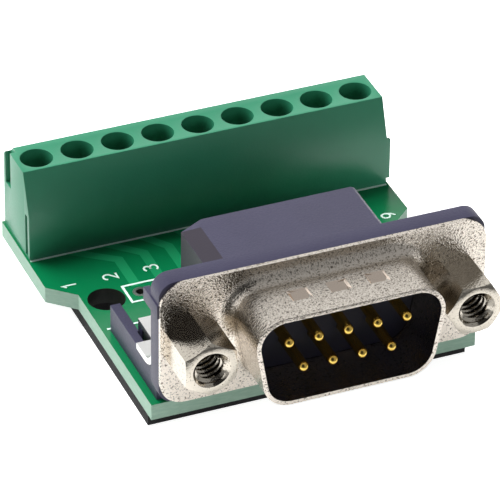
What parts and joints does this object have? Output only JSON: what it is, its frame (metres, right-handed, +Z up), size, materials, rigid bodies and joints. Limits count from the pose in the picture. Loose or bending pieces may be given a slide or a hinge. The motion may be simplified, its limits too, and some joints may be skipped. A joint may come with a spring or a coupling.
{
  "type": "d-sub terminal block adapter",
  "caption": "Right-angle D-sub plug wired through a small circuit board to a screw terminal block, with jack screws and an insulating pad underneath.",
  "frame": {"origin": "midpoint between the two board mounting holes, on the underside of the insulating pad", "axes": "+X across the board to the plug's right, +Y from the plug towards the terminal block, +Z up"},
  "size_m": [0.0364, 0.0399, 0.0167],
  "materials": {
    "board": "glass-epoxy laminate with green solder mask",
    "pad": "black foam pad",
    "nickel": "nickel plated steel",
    "insulator": "moulded black glass-filled polyester",
    "black_plastic": "moulded black glass-filled polyester",
    "tin": "tinned steel",
    "gold": "gold plated brass",
    "green_plastic": "moulded green polyamide",
    "tinned_copper": "tinned brass",
    "cage_metal": "nickel plated brass",
    "screw_steel": "zinc plated steel"
  },
  "bodies": {
    "root": {"circuit_board": "board", "insulating_pad": "pad", "front_shell": "nickel", "pin_insert": "insulator", "dsub_housing": "black_plastic", "bracket_left": "tin", "bracket_right": "tin", "jack_screw_left": "nickel", "jack_screw_right": "nickel", "terminal_housing": "green_plastic", "contact_pin_1": "gold", "contact_pin_2": "gold", "contact_pin_3": "gold", "contact_pin_4": "gold", "contact_pin_5": "gold", "contact_pin_6": "gold", "contact_pin_7": "gold", "contact_pin_8": "gold", "contact_pin_9": "gold", "terminal_contact_1": "tinned_copper", "terminal_contact_2": "tinned_copper", "terminal_contact_3": "tinned_copper", "terminal_contact_4": "tinned_copper", "terminal_contact_5": "tinned_copper", "terminal_contact_6": "tinned_copper", "terminal_contact_7": "tinned_copper", "terminal_contact_8": "tinned_copper", "terminal_contact_9": "tinned_copper"},
    "screw_1": {"clamp_screw_1": "screw_steel"},
    "cage_1": {"clamp_cage_1": "cage_metal"},
    "screw_2": {"clamp_screw_2": "screw_steel"},
    "cage_2": {"clamp_cage_2": "cage_metal"},
    "screw_3": {"clamp_screw_3": "screw_steel"},
    "cage_3": {"clamp_cage_3": "cage_metal"},
    "screw_4": {"clamp_screw_4": "screw_steel"},
    "cage_4": {"clamp_cage_4": "cage_metal"},
    "screw_5": {"clamp_screw_5": "screw_steel"},
    "cage_5": {"clamp_cage_5": "cage_metal"},
    "screw_6": {"clamp_screw_6": "screw_steel"},
    "cage_6": {"clamp_cage_6": "cage_metal"},
    "screw_7": {"clamp_screw_7": "screw_steel"},
    "cage_7": {"clamp_cage_7": "cage_metal"},
    "screw_8": {"clamp_screw_8": "screw_steel"},
    "cage_8": {"clamp_cage_8": "cage_metal"},
    "screw_9": {"clamp_screw_9": "screw_steel"},
    "cage_9": {"clamp_cage_9": "cage_metal"}
  },
  "joints": [
    {"name": "screw_1_turn", "type": "hinge", "parent": "root", "child": "screw_1", "pos_m": [-0.01584, 0.01158, 0.009], "axis": [0, 0, -1], "range_deg": [0, 1351]},
    {"name": "cage_1_lift", "type": "slide", "parent": "root", "child": "cage_1", "axis": [0, 0, 1], "range_m": [0, 0.0015]},
    {"name": "screw_2_turn", "type": "hinge", "parent": "root", "child": "screw_2", "pos_m": [-0.01188, 0.01158, 0.009], "axis": [0, 0, -1], "range_deg": [0, 1351]},
    {"name": "cage_2_lift", "type": "slide", "parent": "root", "child": "cage_2", "axis": [0, 0, 1], "range_m": [0, 0.0015]},
    {"name": "screw_3_turn", "type": "hinge", "parent": "root", "child": "screw_3", "pos_m": [-0.00792, 0.01158, 0.009], "axis": [0, 0, -1], "range_deg": [0, 1351]},
    {"name": "cage_3_lift", "type": "slide", "parent": "root", "child": "cage_3", "axis": [0, 0, 1], "range_m": [0, 0.0015]},
    {"name": "screw_4_turn", "type": "hinge", "parent": "root", "child": "screw_4", "pos_m": [-0.00396, 0.01158, 0.009], "axis": [0, 0, -1], "range_deg": [0, 1351]},
    {"name": "cage_4_lift", "type": "slide", "parent": "root", "child": "cage_4", "axis": [0, 0, 1], "range_m": [0, 0.0015]},
    {"name": "screw_5_turn", "type": "hinge", "parent": "root", "child": "screw_5", "pos_m": [0, 0.01158, 0.009], "axis": [0, 0, -1], "range_deg": [0, 1351]},
    {"name": "cage_5_lift", "type": "slide", "parent": "root", "child": "cage_5", "axis": [0, 0, 1], "range_m": [0, 0.0015]},
    {"name": "screw_6_turn", "type": "hinge", "parent": "root", "child": "screw_6", "pos_m": [0.00396, 0.01158, 0.009], "axis": [0, 0, -1], "range_deg": [0, 1351]},
    {"name": "cage_6_lift", "type": "slide", "parent": "root", "child": "cage_6", "axis": [0, 0, 1], "range_m": [0, 0.0015]},
    {"name": "screw_7_turn", "type": "hinge", "parent": "root", "child": "screw_7", "pos_m": [0.00792, 0.01158, 0.009], "axis": [0, 0, -1], "range_deg": [0, 1351]},
    {"name": "cage_7_lift", "type": "slide", "parent": "root", "child": "cage_7", "axis": [0, 0, 1], "range_m": [0, 0.0015]},
    {"name": "screw_8_turn", "type": "hinge", "parent": "root", "child": "screw_8", "pos_m": [0.01188, 0.01158, 0.009], "axis": [0, 0, -1], "range_deg": [0, 1351]},
    {"name": "cage_8_lift", "type": "slide", "parent": "root", "child": "cage_8", "axis": [0, 0, 1], "range_m": [0, 0.0015]},
    {"name": "screw_9_turn", "type": "hinge", "parent": "root", "child": "screw_9", "pos_m": [0.01584, 0.01158, 0.009], "axis": [0, 0, -1], "range_deg": [0, 1351]},
    {"name": "cage_9_lift", "type": "slide", "parent": "root", "child": "cage_9", "axis": [0, 0, 1], "range_m": [0, 0.0015]}
  ],
  "couplings": [
    {"joint": "screw_1_turn", "follows": "cage_1_lift", "rad_per_m": 15708},
    {"joint": "screw_2_turn", "follows": "cage_2_lift", "rad_per_m": 15708},
    {"joint": "screw_3_turn", "follows": "cage_3_lift", "rad_per_m": 15708},
    {"joint": "screw_4_turn", "follows": "cage_4_lift", "rad_per_m": 15708},
    {"joint": "screw_5_turn", "follows": "cage_5_lift", "rad_per_m": 15708},
    {"joint": "screw_6_turn", "follows": "cage_6_lift", "rad_per_m": 15708},
    {"joint": "screw_7_turn", "follows": "cage_7_lift", "rad_per_m": 15708},
    {"joint": "screw_8_turn", "follows": "cage_8_lift", "rad_per_m": 15708},
    {"joint": "screw_9_turn", "follows": "cage_9_lift", "rad_per_m": 15708}
  ]
}
